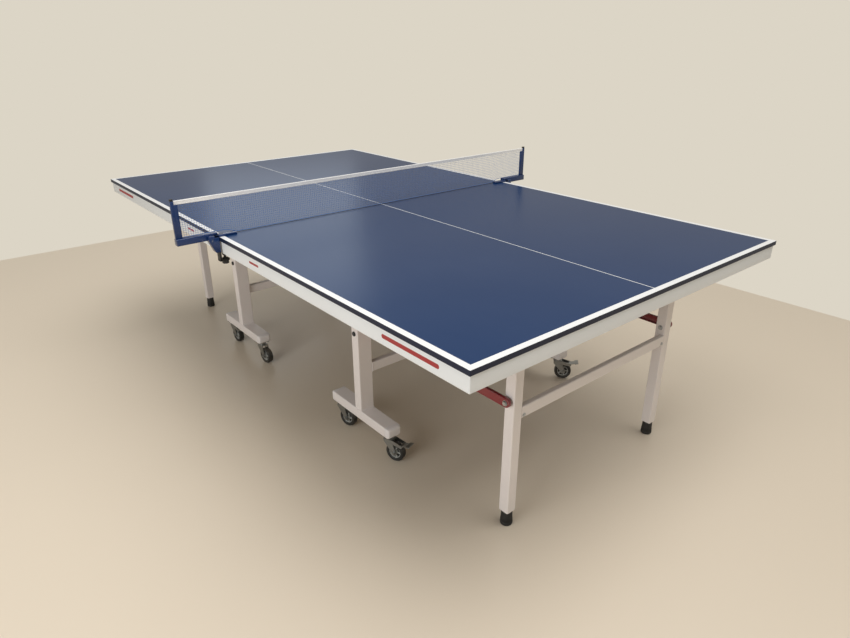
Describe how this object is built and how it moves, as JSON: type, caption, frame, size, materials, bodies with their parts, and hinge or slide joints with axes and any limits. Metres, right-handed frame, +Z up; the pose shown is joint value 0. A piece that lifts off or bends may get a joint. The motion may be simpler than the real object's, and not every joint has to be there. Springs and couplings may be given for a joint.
{
  "type": "table tennis table",
  "caption": "Folding table tennis table in separate halves, each on wheeled T-stands with end legs on link bars, with a clamp-on net.",
  "frame": {"origin": "on the floor under the middle of the net", "axes": "+X along the table to the near end line, +Y across the table to the right-hand net post, +Z up"},
  "size_m": [2.74, 1.83, 0.9185],
  "materials": {
    "board_blue": "matte blue playing paint on chipboard",
    "rail_white": "satin powder coat",
    "frame_white": "satin powder coat",
    "cap_white": "moulded plastic",
    "zinc": "bright zinc plate",
    "bolt_black": "black oxide",
    "link_red": "dark red powder coat",
    "rubber_black": "moulded rubber",
    "tyre_black": "hard rubber tread on a plastic hub",
    "post_navy": "gloss blue powder coat",
    "knob_black": "moulded plastic over a steel screw",
    "pad_rubber": "rubber",
    "net_cloth": "knotted nylon mesh with a cotton tape"
  },
  "bodies": {
    "far_base": {"far_columns": "frame_white", "far_foot_beams": "frame_white", "far_beam_caps": "cap_white", "far_stand_crossbar": "frame_white", "far_castor_mounts": "zinc", "far_link_bolts": "bolt_black"},
    "far_top": {"far_board": "board_blue", "far_side_rails": "rail_white", "far_cross_rails": "rail_white", "far_hinge_brackets": "frame_white", "far_hinge_pins": "zinc"},
    "far_leg_frame": {"far_legs": "frame_white", "far_leg_crossbar": "frame_white", "far_leg_feet": "rubber_black", "far_leg_bolts": "zinc"},
    "far_links": {"far_link_bars": "link_red"},
    "near_base": {"near_columns": "frame_white", "near_foot_beams": "frame_white", "near_beam_caps": "cap_white", "near_stand_crossbar": "frame_white", "near_castor_mounts": "zinc", "near_link_bolts": "bolt_black"},
    "near_top": {"near_board": "board_blue", "near_side_rails": "rail_white", "near_cross_rails": "rail_white", "near_hinge_brackets": "frame_white", "near_hinge_pins": "zinc", "net_post_left": "post_navy", "net_post_right": "post_navy", "net": "net_cloth"},
    "near_leg_frame": {"near_legs": "frame_white", "near_leg_crossbar": "frame_white", "near_leg_feet": "rubber_black", "near_leg_bolts": "zinc"},
    "near_links": {"near_link_bars": "link_red"},
    "castor_near_outer_left": {"fork_near_outer_left": "zinc"},
    "wheel_near_outer_left": {"wheel_near_outer_left": "tyre_black"},
    "brake_near_outer_left": {"brake_near_outer_left": "zinc"},
    "castor_near_outer_right": {"fork_near_outer_right": "zinc"},
    "wheel_near_outer_right": {"wheel_near_outer_right": "tyre_black"},
    "brake_near_outer_right": {"brake_near_outer_right": "zinc"},
    "castor_near_inner_left": {"fork_near_inner_left": "zinc"},
    "wheel_near_inner_left": {"wheel_near_inner_left": "tyre_black"},
    "castor_near_inner_right": {"fork_near_inner_right": "zinc"},
    "wheel_near_inner_right": {"wheel_near_inner_right": "tyre_black"},
    "castor_far_inner_left": {"fork_far_inner_left": "zinc"},
    "wheel_far_inner_left": {"wheel_far_inner_left": "tyre_black"},
    "castor_far_inner_right": {"fork_far_inner_right": "zinc"},
    "wheel_far_inner_right": {"wheel_far_inner_right": "tyre_black"},
    "castor_far_outer_left": {"fork_far_outer_left": "zinc"},
    "wheel_far_outer_left": {"wheel_far_outer_left": "tyre_black"},
    "brake_far_outer_left": {"brake_far_outer_left": "zinc"},
    "castor_far_outer_right": {"fork_far_outer_right": "zinc"},
    "wheel_far_outer_right": {"wheel_far_outer_right": "tyre_black"},
    "brake_far_outer_right": {"brake_far_outer_right": "zinc"},
    "clamp_pad_left": {"clamp_pad_left": "pad_rubber"},
    "clamp_screw_left": {"clamp_screw_left": "knob_black"},
    "clamp_pad_right": {"clamp_pad_right": "pad_rubber"},
    "clamp_screw_right": {"clamp_screw_right": "knob_black"}
  },
  "joints": [
    {"name": "near_half_roll", "type": "slide", "parent": "far_base", "child": "near_base", "axis": [1, 0, 0], "range_m": [0, 0.4]},
    {"name": "far_tilt", "type": "hinge", "parent": "far_base", "child": "far_top", "pos_m": [-0.51, 0, 0.714], "axis": [0, 1, 0], "range_deg": [0, 90]},
    {"name": "far_leg_fold", "type": "hinge", "parent": "far_top", "child": "far_leg_frame", "pos_m": [-1.186, 0, 0.714], "axis": [0, -1, 0], "range_deg": [0, 90]},
    {"name": "far_link_swing", "type": "hinge", "parent": "far_base", "child": "far_links", "pos_m": [-0.51, 0, 0.462], "axis": [0, 1, 0], "range_deg": [0, 90]},
    {"name": "near_tilt", "type": "hinge", "parent": "near_base", "child": "near_top", "pos_m": [0.51, 0, 0.714], "axis": [0, -1, 0], "range_deg": [0, 90]},
    {"name": "near_leg_fold", "type": "hinge", "parent": "near_top", "child": "near_leg_frame", "pos_m": [1.186, 0, 0.714], "axis": [0, 1, 0], "range_deg": [0, 90]},
    {"name": "near_link_swing", "type": "hinge", "parent": "near_base", "child": "near_links", "pos_m": [0.51, 0, 0.462], "axis": [0, -1, 0], "range_deg": [0, 90]},
    {"name": "swivel_near_outer_left", "type": "hinge", "parent": "near_base", "child": "castor_near_outer_left", "pos_m": [0.665, -0.478, 0.09], "axis": [0, 0, 1], "continuous": true},
    {"name": "roll_near_outer_left", "type": "hinge", "parent": "castor_near_outer_left", "child": "wheel_near_outer_left", "pos_m": [0.69131, -0.46842, 0.0375], "axis": [-0.342, 0.9397, 0], "continuous": true},
    {"name": "brake_press_near_outer_left", "type": "hinge", "parent": "castor_near_outer_left", "child": "brake_near_outer_left", "pos_m": [0.71911, -0.45831, 0.07274], "axis": [-0.342, 0.9397, 0], "range_deg": [0, 20]},
    {"name": "swivel_near_outer_right", "type": "hinge", "parent": "near_base", "child": "castor_near_outer_right", "pos_m": [0.665, 0.478, 0.09], "axis": [0, 0, 1], "continuous": true},
    {"name": "roll_near_outer_right", "type": "hinge", "parent": "castor_near_outer_right", "child": "wheel_near_outer_right", "pos_m": [0.68581, 0.49674, 0.0375], "axis": [-0.6691, 0.7431, 0], "continuous": true},
    {"name": "brake_press_near_outer_right", "type": "hinge", "parent": "castor_near_outer_right", "child": "brake_near_outer_right", "pos_m": [0.70779, 0.51653, 0.07274], "axis": [-0.6691, 0.7431, 0], "range_deg": [0, 20]},
    {"name": "swivel_near_inner_left", "type": "hinge", "parent": "near_base", "child": "castor_near_inner_left", "pos_m": [0.355, -0.478, 0.09], "axis": [0, 0, 1], "continuous": true},
    {"name": "roll_near_inner_left", "type": "hinge", "parent": "castor_near_inner_left", "child": "wheel_near_inner_left", "pos_m": [0.38217, -0.47123, 0.0375], "axis": [-0.2419, 0.9703, 0], "continuous": true},
    {"name": "swivel_near_inner_right", "type": "hinge", "parent": "near_base", "child": "castor_near_inner_right", "pos_m": [0.355, 0.478, 0.09], "axis": [0, 0, 1], "continuous": true},
    {"name": "roll_near_inner_right", "type": "hinge", "parent": "castor_near_inner_right", "child": "wheel_near_inner_right", "pos_m": [0.38017, 0.49027, 0.0375], "axis": [-0.4384, 0.8988, 0], "continuous": true},
    {"name": "swivel_far_inner_left", "type": "hinge", "parent": "far_base", "child": "castor_far_inner_left", "pos_m": [-0.355, -0.478, 0.09], "axis": [0, 0, 1], "continuous": true},
    {"name": "roll_far_inner_left", "type": "hinge", "parent": "castor_far_inner_left", "child": "wheel_far_inner_left", "pos_m": [-0.32727, -0.4741, 0.0375], "axis": [-0.1392, 0.9903, 0], "continuous": true},
    {"name": "swivel_far_inner_right", "type": "hinge", "parent": "far_base", "child": "castor_far_inner_right", "pos_m": [-0.355, 0.478, 0.09], "axis": [0, 0, 1], "continuous": true},
    {"name": "roll_far_inner_right", "type": "hinge", "parent": "castor_far_inner_right", "child": "wheel_far_inner_right", "pos_m": [-0.32761, 0.47218, 0.0375], "axis": [0.2079, 0.9781, 0], "continuous": true},
    {"name": "swivel_far_outer_left", "type": "hinge", "parent": "far_base", "child": "castor_far_outer_left", "pos_m": [-0.665, -0.478, 0.09], "axis": [0, 0, 1], "continuous": true},
    {"name": "roll_far_outer_left", "type": "hinge", "parent": "castor_far_outer_left", "child": "wheel_far_outer_left", "pos_m": [-0.63707, -0.47605, 0.0375], "axis": [-0.0698, 0.9976, 0], "continuous": true},
    {"name": "brake_press_far_outer_left", "type": "hinge", "parent": "castor_far_outer_left", "child": "brake_far_outer_left", "pos_m": [-0.60756, -0.47398, 0.07274], "axis": [-0.0698, 0.9976, 0], "range_deg": [0, 20]},
    {"name": "swivel_far_outer_right", "type": "hinge", "parent": "far_base", "child": "castor_far_outer_right", "pos_m": [-0.665, 0.478, 0.09], "axis": [0, 0, 1], "continuous": true},
    {"name": "roll_far_outer_right", "type": "hinge", "parent": "castor_far_outer_right", "child": "wheel_far_outer_right", "pos_m": [-0.63808, 0.48572, 0.0375], "axis": [-0.2756, 0.9613, 0], "continuous": true},
    {"name": "brake_press_far_outer_right", "type": "hinge", "parent": "castor_far_outer_right", "child": "brake_far_outer_right", "pos_m": [-0.60965, 0.49387, 0.07274], "axis": [-0.2756, 0.9613, 0], "range_deg": [0, 20]},
    {"name": "clamp_lift_left", "type": "slide", "parent": "near_top", "child": "clamp_pad_left", "axis": [0, 0, -1], "range_m": [0, 0.0101]},
    {"name": "clamp_turn_left", "type": "hinge", "parent": "clamp_pad_left", "child": "clamp_screw_left", "pos_m": [0.013, -0.7475, 0.66], "axis": [0, 0, -1], "range_deg": [0, 2400]},
    {"name": "clamp_lift_right", "type": "slide", "parent": "near_top", "child": "clamp_pad_right", "axis": [0, 0, -1], "range_m": [0, 0.0101]},
    {"name": "clamp_turn_right", "type": "hinge", "parent": "clamp_pad_right", "child": "clamp_screw_right", "pos_m": [0.013, 0.7475, 0.66], "axis": [0, 0, -1], "range_deg": [0, 2400]}
  ],
  "couplings": [
    {"joint": "near_tilt", "follows": "near_half_roll", "rad_per_m": 3.9269},
    {"joint": "near_leg_fold", "follows": "near_half_roll", "rad_per_m": 3.9269},
    {"joint": "near_link_swing", "follows": "near_half_roll", "rad_per_m": 3.9269},
    {"joint": "far_leg_fold", "follows": "far_tilt", "ratio": 1},
    {"joint": "far_link_swing", "follows": "far_tilt", "ratio": 1},
    {"joint": "clamp_lift_left", "follows": "clamp_turn_left", "m_per_rad": 0.00023873},
    {"joint": "clamp_lift_right", "follows": "clamp_turn_right", "m_per_rad": 0.00023873}
  ]
}
